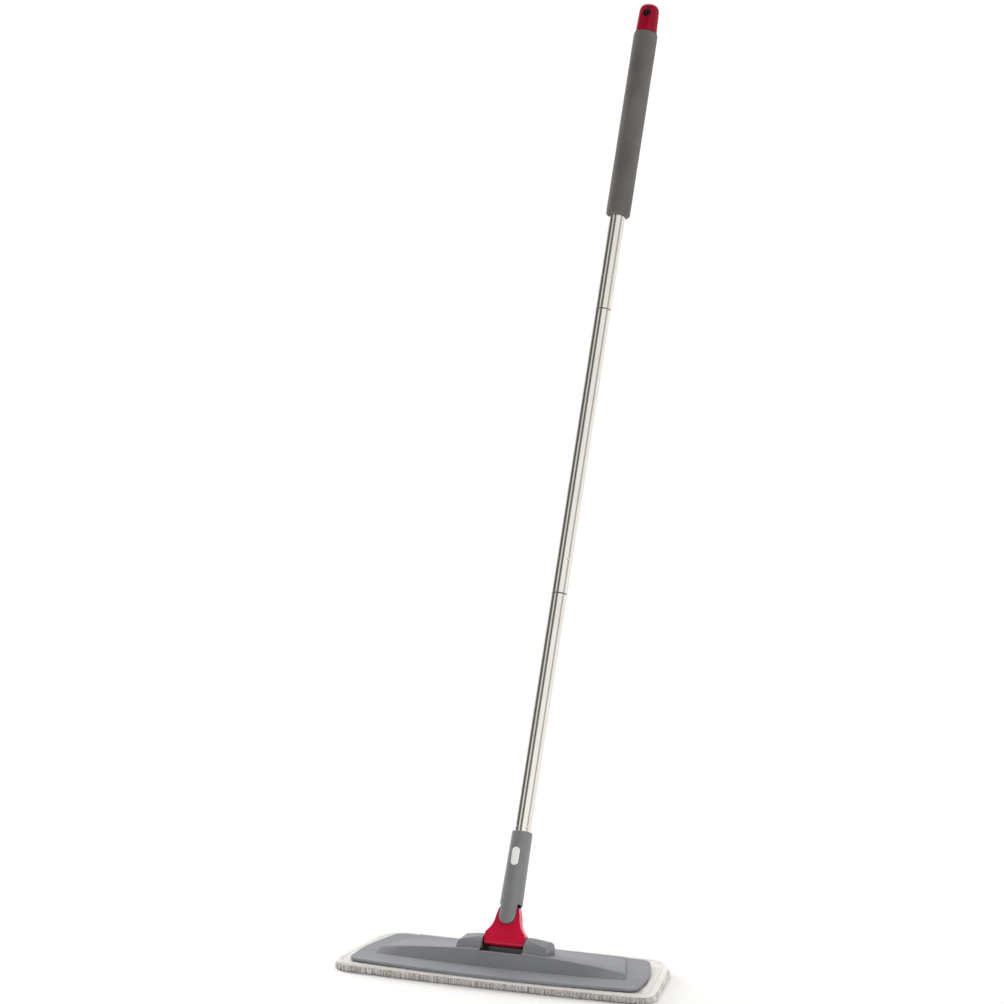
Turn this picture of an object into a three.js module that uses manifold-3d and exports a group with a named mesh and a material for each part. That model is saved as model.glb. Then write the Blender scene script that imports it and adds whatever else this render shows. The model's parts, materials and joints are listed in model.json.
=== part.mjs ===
import * as THREE from 'three';
import { mergeVertices } from 'three/addons/utils/BufferGeometryUtils.js';
import Module from 'manifold-3d';

const manifold = await Module();
manifold.setup();
const { Manifold, Mesh: ManifoldMesh } = manifold;

// Flat mop, in millimetres. The origin is the middle of the hand grip, ORIGIN_HEIGHT up the pole.
// The handle leans back by LEAN. Inside the handle group z runs up the pole
// from the tilt hinge; inside the head group z runs up from the floor.

const LEAN = THREE.MathUtils.degToRad(26.5);
const GAP = 0.3;
const HALF_GAP = GAP / 2;
const ROUND = 48;
const HIDDEN_ROUND = 24;

const TUBE_RADIUS = 9.8;
const TUBE_BORE = 8.8;
const SECTION = 366.5;
const LOWER_JOINT = 432.5;
const UPPER_JOINT = LOWER_JOINT + SECTION;
const POLE_TOP = UPPER_JOINT + SECTION;
const POLE_BOTTOM = LOWER_JOINT - SECTION;
const COLLAR = 1;
const CRIMP_HEIGHT = 43;
const CRIMP_DEPTH = 0.45;
const SOCKET_CRIMP = 140;
const THREAD_RADIUS = 5.6;

const ORIGIN_HEIGHT = 1047;
const GRIP_BOTTOM = 922.5;
const GRIP_TOP = 1168;
const GRIP_RADIUS = 15.3;

const CAP_TOP = 1206.4;
const HANG_HOLE_HEIGHT = 1192.3;
const CAP_RADIUS = 12.5;
const CAP_BASE_RADIUS = 13.6;
const EAR_THICKNESS = 22;
const HANG_HOLE_RADIUS = 5.1;
const DOME_HEIGHT = 10;

const SOCKET_TOP = 134.5;
const SOCKET_TOP_RADIUS = 12.5;
const SOCKET_BOTTOM = 45;
const SOCKET_BOTTOM_RADIUS = 13.9;
const SOCKET_BORE = 10.1;
const BUTTON_HEIGHT = 103;
const BUTTON_WIDTH = 9.4;
const BUTTON_LENGTH = 22.4;
const BUTTON_FRONT = 13.8;
const FLANGE_WIDTH = 13;
const FLANGE_LENGTH = 25.6;
const FLANGE_OUTER = 5.1;
const FLANGE_INNER = 3.9;
const SPRING_SEAT = 4.6;

const SWIVEL_HEIGHT = 31;
const FORK_RADIUS = 10;
const SLOT_RADIUS = 19.5;
const SLOT_WIDTH = 13.2;
const NECK_WIDTH = 11.6;
const NECK_TOP_RADIUS = 15.3;
const PIN_RADIUS = 2.5;
const PIN_CLEARANCE = 0.15;

const TILT_HEIGHT = 40;
const BARREL_RADIUS = 6.8;
const BARREL_HALF = 25.8;
const NOTCH_HALF = 27;
const NOTCH_FRONT = -17.2;
const NOTCH_FLOOR = 28;
const NOTCH_LIP = 32.2;

const PLATE_BOTTOM = 12.5;
const PLATE_TOP = 16.5;
const PLATE = {
  front: -51.5, back: 62, frontHalf: 186, backHalf: 164.5,
  bow: 9.5, bulge: 4.5, frontRadius: 17, backRadius: 15,
};
const ROOF = {
  front: -24, back: 59.5, frontHalf: 157.5, backHalf: 131,
  bow: 6.5, face: 10.5, flare: 3.5, end: 2.2, height: 18, endHeight: 5.5,
};
const BACK_STEP = 1.3;
const POCKET_TOP = 25;
const BOSS = { half: 57.3, top: 46.6, shoulder: 41.8, shoulderHalf: 52.5, side: 35, front: -16, back: 15.5 };
const PIN_HALF = 44;

const PAD = {
  front: -56.5, back: 84, frontHalf: 205, backHalf: 184,
  bow: 5, bulge: 0, frontRadius: 24, backRadius: 38,
};
const PILE_TOP = 6.5;
const CORE_BOTTOM = 6.8;
const CORE_TOP = 9.2;
const CLOTH_BOTTOM = 9.5;
const PAD_TOP = 11.2;
const BINDING_WIDTH = 8;
const STRIP_RECESS = 1;
const STRIP_BOTTOM = PAD_TOP + GAP;
const STRIPS = {
  hook_strip_front: { x: [-150, 150], y: [-50, -26] },
  hook_strip_rear: { x: [-118, 118], y: [36, 52] },
  hook_strip_left: { x: [-179, -154], y: [-20, 42], shift: 16 },
  hook_strip_right: { x: [154, 179], y: [-20, 42], shift: -16 },
};

// ---- geometry helpers ----

function toManifold(geometry) {
  const bare = geometry.index ? geometry.clone() : geometry;
  bare.deleteAttribute('normal');
  bare.deleteAttribute('uv');
  const merged = mergeVertices(bare, 1e-4);
  const triangles = [];
  const index = merged.index.array;
  for (let i = 0; i < index.length; i += 3) {
    const [a, b, c] = [index[i], index[i + 1], index[i + 2]];
    if (a !== b && b !== c && c !== a) triangles.push(a, b, c);
  }
  const vertProperties = new Float32Array(merged.attributes.position.array);
  const mesh = new ManifoldMesh({ numProp: 3, vertProperties, triVerts: new Uint32Array(triangles) });
  mesh.merge();
  return new Manifold(mesh);
}

function toGeometry(solid) {
  const mesh = solid.getMesh();
  const geometry = new THREE.BufferGeometry();
  geometry.setAttribute('position', new THREE.BufferAttribute(mesh.vertProperties, 3));
  geometry.setIndex(new THREE.BufferAttribute(mesh.triVerts, 1));
  return geometry.toNonIndexed();
}

function unite(...solids) {
  return solids.reduce((sum, solid) => sum.add(solid));
}

function cut(solid, ...tools) {
  return tools.reduce((rest, tool) => rest.subtract(tool), solid);
}

// A closed solid of revolution about z, from [radius, height] points.
function turned(points, segments = ROUND) {
  const profile = points.map(([radius, height]) => new THREE.Vector2(radius, height));
  return new THREE.LatheGeometry(profile, segments).rotateX(Math.PI / 2);
}

function ring(inner, outer, bottom, top, edge = 0.3, segments = ROUND) {
  return turned([
    [inner, bottom], [outer - edge, bottom], [outer, bottom + edge],
    [outer, top - edge], [outer - edge, top], [inner, top], [inner, bottom],
  ], segments);
}

function rod(radius, bottom, top, edge = 0.3, segments = ROUND) {
  return turned([
    [0, bottom], [radius - edge, bottom], [radius, bottom + edge],
    [radius, top - edge], [radius - edge, top], [0, top],
  ], segments);
}

function box(x0, x1, y0, y1, z0, z1) {
  const geometry = new THREE.BoxGeometry(x1 - x0, y1 - y0, z1 - z0);
  return geometry.translate((x0 + x1) / 2, (y0 + y1) / 2, (z0 + z1) / 2);
}

// A plan outline, raised from bottom to top, with an optional rounded edge.
function slab(shape, bottom, top, bevel = 0) {
  const geometry = new THREE.ExtrudeGeometry(shape, {
    depth: top - bottom - 2 * bevel,
    bevelEnabled: bevel > 0,
    bevelThickness: bevel,
    bevelSize: bevel,
    bevelOffset: -bevel,
    bevelSegments: 2,
    curveSegments: 10,
  });
  return geometry.translate(0, 0, bottom + bevel);
}

// A front-view outline in (x, z), as a prism from y0 to y1.
function frontPrism(shape, y0, y1, bevel = 0) {
  return slab(shape, 0, y1 - y0, bevel).rotateX(Math.PI / 2).translate(0, y1, 0);
}

// A side-view outline in (y, z), as a prism from x0 to x1.
function sidePrism(shape, x0, x1) {
  return slab(shape, 0, x1 - x0).rotateX(Math.PI / 2).rotateZ(Math.PI / 2).translate(x0, 0, 0);
}

function oval(width, length, centreHeight) {
  const r = width / 2;
  const straight = length / 2 - r;
  const shape = new THREE.Shape();
  shape.absarc(0, centreHeight + straight, r, 0, Math.PI, false);
  shape.absarc(0, centreHeight - straight, r, Math.PI, 2 * Math.PI, false);
  return shape;
}

function polygon(points) {
  return new THREE.Shape(points.map(([x, y]) => new THREE.Vector2(x, y)));
}

// The plan outline of the plate and the pad: bowed front, slanted ends that may bulge, round corners.
function headOutline({ front, back, frontHalf, backHalf, bow, bulge, frontRadius, backRadius }, inset = 0) {
  const y0 = front + inset;
  const y1 = back - inset;
  const w0 = frontHalf - inset;
  const w1 = backHalf - inset;
  const r0 = frontRadius - inset / 2;
  const r1 = backRadius - inset / 2;
  const lean = (w0 - w1) / (y1 - y0);
  const frontY = y0 - bow * 0.15;
  const side = [[w0 - lean * r0, y0 + r0], [w1 + lean * r1, y1 - r1]];
  const middle = [(side[0][0] + side[1][0]) / 2 + 2 * bulge, (side[0][1] + side[1][1]) / 2];
  const shape = new THREE.Shape();
  shape.moveTo(-w0 + r0, frontY);
  shape.quadraticCurveTo(0, y0 - bow * 1.85, w0 - r0, frontY);
  shape.quadraticCurveTo(w0, y0, ...side[0]);
  shape.quadraticCurveTo(...middle, ...side[1]);
  shape.quadraticCurveTo(w1, y1, w1 - r1, y1);
  shape.lineTo(-w1 + r1, y1);
  shape.quadraticCurveTo(-w1, y1, -side[1][0], side[1][1]);
  shape.quadraticCurveTo(-middle[0], middle[1], -side[0][0], side[0][1]);
  shape.quadraticCurveTo(-w0, y0, -w0 + r0, frontY);
  return shape;
}

// ---- materials ----

function material(color, roughness, metalness = 0) {
  return new THREE.MeshStandardMaterial({ color, roughness, metalness });
}

const steel = () => material(0xb9b6b2, 0.18, 1);
const redPlastic = () => material(0xa8102e, 0.28);
const foam = () => material(0x6e6c6a, 0.92);
const greyPlastic = () => material(0x77797b, 0.5);
const plateGrey = () => material(0x8b8f93, 0.45);
const whitePlastic = () => material(0xf0efec, 0.35);
const nylon = () => material(0xdedcd6, 0.5);
const springSteel = () => material(0x9a9a9c, 0.3, 1);
const hookGrey = () => material(0x3c3d3f, 0.95);
const whiteCloth = () => material(0xe6e2de, 0.95);
const foamCore = () => material(0xd8d4cc, 0.95);
const pileCloth = () => material(0xb5aca8, 1);

function part(name, geometry, look) {
  const mesh = new THREE.Mesh(geometry, look);
  mesh.name = name;
  return mesh;
}

function solidPart(name, solid, look) {
  return part(name, toGeometry(solid), look);
}

// ---- pole ----

// Four small crimps round the pole that hold a fitting inside the tube.
function crimps(height) {
  const radius = 3;
  const dents = [45, 135, 225, 315].map((degrees) => {
    const angle = THREE.MathUtils.degToRad(degrees);
    const reach = TUBE_RADIUS + radius - CRIMP_DEPTH;
    const ball = new THREE.SphereGeometry(radius, 16, 10);
    return toManifold(ball.translate(reach * Math.cos(angle), reach * Math.sin(angle), height));
  });
  return unite(...dents);
}

function tube(bottom, top, crimpHeight) {
  return toManifold(ring(TUBE_BORE, TUBE_RADIUS, bottom, top, 0.15)).subtract(crimps(crimpHeight));
}

function upperTube() {
  const solid = tube(UPPER_JOINT + COLLAR / 2 + HALF_GAP, POLE_TOP, UPPER_JOINT + CRIMP_HEIGHT);
  return solidPart('upper_tube', solid, steel());
}

function middleTube() {
  const bottom = LOWER_JOINT + COLLAR / 2 + HALF_GAP;
  const top = UPPER_JOINT - COLLAR / 2 - HALF_GAP;
  return solidPart('middle_tube', tube(bottom, top, LOWER_JOINT + CRIMP_HEIGHT), steel());
}

function lowerTube() {
  const pole = tube(POLE_BOTTOM, LOWER_JOINT - COLLAR / 2 - HALF_GAP, SOCKET_CRIMP);
  return solidPart('lower_tube', pole.subtract(buttonWindow(GAP)), steel());
}

// The nut in the bottom of a section: a plug with a threaded bore and a groove for the crimps.
function jointNut(name, joint) {
  const bottom = joint + COLLAR / 2 + 2 * GAP;
  const groove = joint + CRIMP_HEIGHT;
  const outer = TUBE_BORE - GAP / 2;
  const solid = turned([
    [THREAD_RADIUS, bottom], [outer, bottom], [outer, groove - 4], [outer - 1, groove - 3],
    [outer - 1, groove + 3], [outer, groove + 4], [outer, groove + 12], [0, groove + 12],
    [0, joint + 32], [THREAD_RADIUS, joint + 32], [THREAD_RADIUS, bottom],
  ], HIDDEN_ROUND);
  return part(name, solid, nylon());
}

// The stud in the top of a section: a plug, a thin collar between the tubes and a threaded spigot.
function jointStud(name, joint) {
  const outer = TUBE_BORE - GAP / 2;
  const crest = THREAD_RADIUS - 0.2;
  const root = crest - 0.8;
  const pitch = 6;
  const points = [
    [0, joint - 34], [outer - 1, joint - 34], [outer, joint - 33], [outer, joint - COLLAR / 2],
    [TUBE_RADIUS - 0.4, joint - COLLAR / 2], [TUBE_RADIUS - 0.4, joint + COLLAR / 2],
    [root, joint + COLLAR / 2],
  ];
  for (let z = joint + 3; z < joint + 26; z += pitch) {
    points.push([root, z], [crest, z + pitch * 0.3], [crest, z + pitch * 0.5], [root, z + pitch * 0.8]);
  }
  points.push([root, joint + 29], [0, joint + 29]);
  return part(name, turned(points, HIDDEN_ROUND), nylon());
}

// ---- grip and cap ----

function gripSleeve() {
  const round = 2.2;
  const inner = TUBE_RADIUS + GAP;
  const corner = round * (1 - Math.SQRT1_2);
  return part('grip_sleeve', turned([
    [inner, GRIP_BOTTOM], [GRIP_RADIUS - round, GRIP_BOTTOM],
    [GRIP_RADIUS - corner, GRIP_BOTTOM + corner], [GRIP_RADIUS, GRIP_BOTTOM + round],
    [GRIP_RADIUS, GRIP_TOP - round], [GRIP_RADIUS - corner, GRIP_TOP - corner],
    [GRIP_RADIUS - round, GRIP_TOP], [inner, GRIP_TOP], [inner, GRIP_BOTTOM],
  ]), foam());
}

function capSideView(base, centre) {
  const half = EAR_THICKNESS / 2;
  const corner = 4;
  const shape = new THREE.Shape();
  shape.moveTo(-CAP_BASE_RADIUS, base);
  shape.lineTo(CAP_BASE_RADIUS, base);
  shape.lineTo(CAP_BASE_RADIUS - 0.5, base + 5);
  shape.quadraticCurveTo(half + 0.5, base + 9, half, centre - HANG_HOLE_RADIUS);
  shape.lineTo(half, CAP_TOP - corner);
  shape.quadraticCurveTo(half, CAP_TOP, half - corner, CAP_TOP);
  shape.lineTo(-half + corner, CAP_TOP);
  shape.quadraticCurveTo(-half, CAP_TOP, -half, CAP_TOP - corner);
  shape.lineTo(-half, centre - HANG_HOLE_RADIUS);
  shape.quadraticCurveTo(-half - 0.5, base + 9, -CAP_BASE_RADIUS + 0.5, base + 5);
  shape.lineTo(-CAP_BASE_RADIUS, base);
  return shape;
}

// A hole through y with flared mouths on both faces.
function hangHole(centre) {
  const half = EAR_THICKNESS / 2;
  const flare = 1.2;
  const hole = turned([
    [0, -half - flare], [HANG_HOLE_RADIUS + 2 * flare, -half - flare],
    [HANG_HOLE_RADIUS, -half + flare], [HANG_HOLE_RADIUS, half - flare],
    [HANG_HOLE_RADIUS + 2 * flare, half + flare], [0, half + flare],
  ], 32);
  return toManifold(hole.rotateX(Math.PI / 2).translate(0, 0, centre));
}

// The cap's round body: a slight taper under a domed top.
function capDome(base) {
  const points = [[0, base], [CAP_BASE_RADIUS, base]];
  for (let degrees = 0; degrees < 90; degrees += 10) {
    const angle = THREE.MathUtils.degToRad(degrees);
    points.push([CAP_RADIUS * Math.cos(angle) ** 0.7, CAP_TOP - DOME_HEIGHT * (1 - Math.sin(angle))]);
  }
  points.push([0, CAP_TOP]);
  return toManifold(turned(points, 64));
}

function hangCap() {
  const base = GRIP_TOP + GAP;
  const centre = HANG_HOLE_HEIGHT;
  const side = toManifold(sidePrism(capSideView(base, centre), -15, 15));
  const plug = toManifold(rod(TUBE_BORE - GAP / 2, POLE_TOP - 32, base + 1));
  const cap = capDome(base).intersect(side).subtract(hangHole(centre)).add(plug);
  return solidPart('hang_cap', cap, redPlastic());
}

// ---- socket, fork and release button ----

// The oval hole through the front wall of the socket and of the lower tube.
function buttonWindow(clearance) {
  const outline = oval(BUTTON_WIDTH + 2 * clearance, BUTTON_LENGTH + 2 * clearance, BUTTON_HEIGHT);
  return toManifold(frontPrism(outline, -16, -4));
}

function forkOutline() {
  const shape = new THREE.Shape();
  shape.moveTo(FORK_RADIUS, SLOT_RADIUS + SWIVEL_HEIGHT + 4);
  shape.lineTo(-FORK_RADIUS, SLOT_RADIUS + SWIVEL_HEIGHT + 4);
  shape.absarc(0, SWIVEL_HEIGHT, FORK_RADIUS, Math.PI, 2 * Math.PI, false);
  return shape;
}

function crossCylinder(radius, y0, y1, height, segments = 32) {
  const geometry = new THREE.CylinderGeometry(radius, radius, y1 - y0, segments);
  return toManifold(geometry.translate(0, (y0 + y1) / 2, height));
}

function swivelSocket() {
  const bore = POLE_BOTTOM - 1;
  const body = toManifold(turned([
    [0, SOCKET_BOTTOM], [SOCKET_BOTTOM_RADIUS - 0.5, SOCKET_BOTTOM],
    [SOCKET_BOTTOM_RADIUS, SOCKET_BOTTOM + 0.7], [SOCKET_TOP_RADIUS, SOCKET_TOP - 0.6],
    [SOCKET_TOP_RADIUS - 0.6, SOCKET_TOP], [SOCKET_BORE + 0.4, SOCKET_TOP],
    [SOCKET_BORE, SOCKET_TOP - 1], [SOCKET_BORE, bore], [0, bore],
  ], 64));
  const ears = toManifold(frontPrism(forkOutline(), -SOCKET_BOTTOM_RADIUS, SOCKET_BOTTOM_RADIUS));
  const round = toManifold(rod(SOCKET_BOTTOM_RADIUS, 0, SOCKET_BOTTOM + 8, 0.3, 64));
  const slot = crossCylinder(SLOT_RADIUS, -SLOT_WIDTH / 2, SLOT_WIDTH / 2, SWIVEL_HEIGHT, 64);
  const pinHole = crossCylinder(PIN_RADIUS + PIN_CLEARANCE, -10.6, 16, SWIVEL_HEIGHT);
  const socket = unite(body, ears.intersect(round));
  return solidPart('swivel_socket', cut(socket, slot, pinHole, buttonWindow(GAP)), greyPlastic());
}

// The insert crimped into the bottom of the pole, with a pocket for the button and its spring.
function poleInsert() {
  const outer = TUBE_BORE - GAP / 2;
  const body = toManifold(turned([
    [0, POLE_BOTTOM + 1], [outer - 1, POLE_BOTTOM + 1], [outer, POLE_BOTTOM + 2],
    [outer, SOCKET_CRIMP - 4], [outer - 1, SOCKET_CRIMP - 3], [outer - 1, SOCKET_CRIMP + 3],
    [outer, SOCKET_CRIMP + 4], [outer, SOCKET_CRIMP + 8], [0, SOCKET_CRIMP + 8],
  ], HIDDEN_ROUND));
  const pocket = frontPrism(oval(FLANGE_WIDTH + 0.6, FLANGE_LENGTH + 0.6, BUTTON_HEIGHT), -12, SPRING_SEAT);
  return solidPart('pole_insert', body.subtract(toManifold(pocket)), nylon());
}

function releaseButton() {
  const outline = oval(BUTTON_WIDTH, BUTTON_LENGTH, BUTTON_HEIGHT);
  const stud = toManifold(frontPrism(outline, -BUTTON_FRONT, -FLANGE_OUTER + 0.5, 0.6));
  const face = toManifold(rod(BUTTON_FRONT, BUTTON_HEIGHT - 20, BUTTON_HEIGHT + 20, 0.3, 96));
  const flange = frontPrism(oval(FLANGE_WIDTH, FLANGE_LENGTH, BUTTON_HEIGHT), -FLANGE_OUTER, -FLANGE_INNER);
  return solidPart('release_button', stud.intersect(face).add(toManifold(flange)), whitePlastic());
}

class Coil extends THREE.Curve {
  constructor(radius, length, turns) {
    super();
    Object.assign(this, { radius, length, turns });
  }

  getPoint(t, target = new THREE.Vector3()) {
    const angle = 2 * Math.PI * this.turns * t;
    return target.set(this.radius * Math.cos(angle), this.length * t, this.radius * Math.sin(angle));
  }
}

function buttonSpring() {
  const wire = 0.4;
  const start = -FLANGE_INNER + wire + GAP;
  const end = SPRING_SEAT - wire - GAP;
  const section = new THREE.Shape();
  section.absarc(0, 0, wire, 0, 2 * Math.PI, false);
  const coil = new THREE.ExtrudeGeometry(section, {
    steps: 54,
    curveSegments: 3,
    bevelEnabled: false,
    extrudePath: new Coil(3, end - start, 4.5),
  });
  return part('button_spring', coil.translate(0, start, BUTTON_HEIGHT), springSteel());
}

function swivelPin() {
  const geometry = rod(PIN_RADIUS, -10.2, 10.4, 0.3, HIDDEN_ROUND).rotateX(-Math.PI / 2);
  return part('swivel_pin', geometry.translate(0, 0, SWIVEL_HEIGHT), springSteel());
}

function swivelPinPlug() {
  const geometry = rod(PIN_RADIUS, 10.8, 13, 0.3, HIDDEN_ROUND).rotateX(-Math.PI / 2);
  return part('swivel_pin_plug', geometry.translate(0, 0, SWIVEL_HEIGHT), greyPlastic());
}

function swivelWasher(name, y) {
  const geometry = ring(PIN_RADIUS + PIN_CLEARANCE, 7, y, y + 0.5, 0.1, HIDDEN_ROUND).rotateX(-Math.PI / 2);
  return part(name, geometry.translate(0, 0, SWIVEL_HEIGHT), nylon());
}

// ---- yoke ----

function yokeFrontView() {
  const cornerHeight = SWIVEL_HEIGHT + 8;
  const cornerHalf = Math.sqrt(NECK_TOP_RADIUS ** 2 - 8 ** 2);
  const angle = Math.atan2(8, cornerHalf);
  const shape = new THREE.Shape();
  shape.moveTo(-BARREL_HALF, 0);
  shape.lineTo(BARREL_HALF, 0);
  shape.lineTo(BARREL_HALF - 0.6, 9.5);
  shape.bezierCurveTo(19.5, 15.5, 16.4, 20, 14.9, SWIVEL_HEIGHT);
  shape.lineTo(cornerHalf, cornerHeight);
  shape.absarc(0, SWIVEL_HEIGHT, NECK_TOP_RADIUS, angle, Math.PI - angle, false);
  shape.lineTo(-14.9, SWIVEL_HEIGHT);
  shape.bezierCurveTo(-16.4, 20, -19.5, 15.5, -BARREL_HALF + 0.6, 9.5);
  return shape;
}

function yokeSideView() {
  const neck = NECK_WIDTH / 2;
  return polygon([
    [-BARREL_RADIUS + 0.2, 0], [BARREL_RADIUS - 0.2, 0], [7, 10], [neck, 19], [neck, 50],
    [-neck, 50], [-neck, 19], [-7, 10],
  ]);
}

function yoke() {
  const front = toManifold(frontPrism(yokeFrontView(), -10, 10));
  const side = toManifold(sidePrism(yokeSideView(), -30, 30));
  const barrel = toManifold(rod(BARREL_RADIUS, -BARREL_HALF, BARREL_HALF, 0.6).rotateY(Math.PI / 2));
  const tiltBore = toManifold(rod(PIN_RADIUS + PIN_CLEARANCE, -40, 40, 0, HIDDEN_ROUND).rotateY(Math.PI / 2));
  const swivelBore = crossCylinder(PIN_RADIUS + PIN_CLEARANCE, -20, 20, SWIVEL_HEIGHT);
  return solidPart('yoke', cut(front.intersect(side).add(barrel), tiltBore, swivelBore), redPlastic());
}

// ---- head plate ----

function roofHeight(x) {
  const rise = ROOF.height - ROOF.endHeight;
  return ROOF.endHeight + rise * (1 - (x / ROOF.frontHalf) ** 2);
}

// Cross-section of the raised back from front to rear: [y, share of the crest height].
function roofRows(inset) {
  const foot = ROOF.front + inset;
  const crest = ROOF.front + ROOF.face;
  const rows = [
    [foot, 0], [crest - 1.6, 0.9], [crest - 0.6, 0.98], [crest + 0.8, 1], [crest + 5, 0.97],
  ];
  const steps = 5;
  for (let i = 1; i <= steps; i += 1) {
    const share = i / steps;
    rows.push([THREE.MathUtils.lerp(crest + 5, ROOF.back - inset, share), 0.97 * (1 - share)]);
  }
  return rows;
}

// A closed solid under a grid of points, from grid[row][column] down to one level.
function groundedGrid(grid, floor) {
  const rows = grid.length;
  const columns = grid[0].length;
  const top = (r, c) => r * columns + c;
  const low = (r, c) => rows * columns + r * columns + c;
  const points = [...grid.flat(), ...grid.flat().map(([x, y]) => [x, y, floor])];
  const faces = [];
  const quad = (a, b, c, d) => faces.push(a, b, c, a, c, d);
  for (let r = 0; r < rows - 1; r += 1) {
    for (let c = 0; c < columns - 1; c += 1) {
      quad(top(r, c), top(r, c + 1), top(r + 1, c + 1), top(r + 1, c));
      quad(low(r, c), low(r + 1, c), low(r + 1, c + 1), low(r, c + 1));
    }
    quad(top(r, 0), top(r + 1, 0), low(r + 1, 0), low(r, 0));
    quad(top(r + 1, columns - 1), top(r, columns - 1), low(r, columns - 1), low(r + 1, columns - 1));
  }
  for (let c = 0; c < columns - 1; c += 1) {
    quad(top(0, c + 1), top(0, c), low(0, c), low(0, c + 1));
    quad(top(rows - 1, c), top(rows - 1, c + 1), low(rows - 1, c + 1), low(rows - 1, c));
  }
  const geometry = new THREE.BufferGeometry();
  geometry.setAttribute('position', new THREE.Float32BufferAttribute(points.flat(), 3));
  geometry.setIndex(faces);
  return geometry;
}

// The long raised back of the plate: a steep bowed front, a low arched crest and a gentle fall to the rear.
function raisedBack(inset, drop, floor) {
  const columns = 24;
  const grid = roofRows(inset).map(([y, share]) => {
    const depth = (y - ROOF.front) / (ROOF.back - ROOF.front);
    const flare = ROOF.flare * Math.min(1, (y - ROOF.front) / ROOF.face);
    const half = THREE.MathUtils.lerp(ROOF.frontHalf, ROOF.backHalf, depth) + flare - inset;
    const bowed = (x) => y - ROOF.bow * (1 - depth) * (1 - (x / half) ** 2);
    const row = [[-half, y, PLATE_TOP - drop]];
    for (let i = 0; i <= columns; i += 1) {
      const x = (half - ROOF.end) * (2 * i / columns - 1);
      const lift = Math.max(share * roofHeight(x), share > 0 || y > 0 ? BACK_STEP : 0);
      row.push([x, bowed(x), PLATE_TOP - drop + lift]);
    }
    row.push([half, y, PLATE_TOP - drop]);
    return row;
  });
  return toManifold(groundedGrid(grid, floor));
}

// The ribbed hollow under the raised back, kept low under the notch for the yoke.
function ribPockets() {
  const width = 28;
  const rib = 3;
  const count = 9;
  const pockets = [];
  for (let i = 0; i < count; i += 1) {
    const x = (i - (count - 1) / 2) * (width + rib) - width / 2;
    const underNotch = Math.abs(x + width / 2) < NOTCH_HALF + width / 2;
    const top = underNotch ? POCKET_TOP : BOSS.top;
    pockets.push(toManifold(box(x, x + width, -22, 9, 0, top)));
    pockets.push(toManifold(box(x, x + width, 12, 31, 0, top)));
  }
  const hollow = raisedBack(3, 3, PLATE_BOTTOM - 1);
  return unite(...pockets).intersect(hollow);
}

function bossFrontView() {
  const { half, top, shoulder, shoulderHalf, side } = BOSS;
  const shape = new THREE.Shape();
  shape.moveTo(-half, PLATE_TOP - 1);
  shape.lineTo(half, PLATE_TOP - 1);
  shape.lineTo(half, side);
  shape.quadraticCurveTo(half, shoulder - 0.6, shoulderHalf, shoulder);
  shape.lineTo(NOTCH_HALF + 1, top);
  shape.lineTo(-NOTCH_HALF - 1, top);
  shape.lineTo(-shoulderHalf, shoulder);
  shape.quadraticCurveTo(-half, shoulder - 0.6, -half, side);
  return shape;
}

function bossSideView() {
  const { front, back, top, side } = BOSS;
  const shape = new THREE.Shape();
  shape.moveTo(front, PLATE_TOP - 1);
  shape.lineTo(back, PLATE_TOP - 1);
  shape.lineTo(back, side - 2);
  shape.bezierCurveTo(back, side + 7, 9, top, 4, top);
  shape.lineTo(1, top);
  shape.bezierCurveTo(-6, top, front + 4, side + 6, front, side - 2);
  return shape;
}

// The raised block across the middle that carries the tilt hinge.
function boss() {
  const front = toManifold(frontPrism(bossFrontView(), BOSS.front - 1, BOSS.back + 1));
  return front.intersect(toManifold(sidePrism(bossSideView(), -BOSS.half - 1, BOSS.half + 1)));
}

// A hook strip's plan outline: a rectangle, or a parallelogram that follows a slanted end.
function stripOutline({ x, y, shift = 0 }, inset = 0) {
  const [x0, x1] = [x[0] + inset, x[1] - inset];
  const [y0, y1] = [y[0] + inset, y[1] - inset];
  return polygon([[x0, y0], [x1, y0], [x1 + shift, y1], [x0 + shift, y1]]);
}

// A solid along x, at the height of the tilt hinge.
function tiltAxisRod(radius, x0, x1, edge = 0.3) {
  return rod(radius, x0, x1, edge, HIDDEN_ROUND).rotateY(Math.PI / 2).translate(0, 0, TILT_HEIGHT);
}

function topPlate() {
  const deck = toManifold(slab(headOutline(PLATE), PLATE_BOTTOM, PLATE_TOP, 1.4));
  const body = unite(deck, raisedBack(0, 0, PLATE_BOTTOM + 1), boss());
  const notch = toManifold(box(-NOTCH_HALF, NOTCH_HALF, NOTCH_FRONT, 40, NOTCH_FLOOR, 60));
  const opening = toManifold(box(-NOTCH_HALF, NOTCH_HALF, -40, 40, NOTCH_LIP, 60));
  const recesses = Object.values(STRIPS).map((strip) =>
    toManifold(slab(stripOutline(strip), PLATE_BOTTOM - 1, PLATE_BOTTOM + STRIP_RECESS)));
  const bore = toManifold(tiltAxisRod(PIN_RADIUS + 0.1, -BOSS.half - 2, BOSS.half + 2, 0));
  const solid = cut(body, notch, opening, ribPockets(), bore, ...recesses);
  return solidPart('top_plate', solid, plateGrey());
}

function hookStrip([name, strip]) {
  const top = PLATE_BOTTOM + STRIP_RECESS - GAP;
  return part(name, slab(stripOutline(strip, GAP), STRIP_BOTTOM, top), hookGrey());
}

function tiltPin() {
  return part('tilt_pin', tiltAxisRod(PIN_RADIUS, -PIN_HALF, PIN_HALF), springSteel());
}

// A plug that closes one end of the pin's bore, flush with the block.
function tiltPinPlug(name, side) {
  const ends = [side * (PIN_HALF + GAP), side * (BOSS.half + 1)].sort((a, b) => a - b);
  const plug = toManifold(tiltAxisRod(PIN_RADIUS, ...ends, 0));
  return solidPart(name, plug.intersect(boss()), plateGrey());
}

// ---- pad ----

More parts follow.
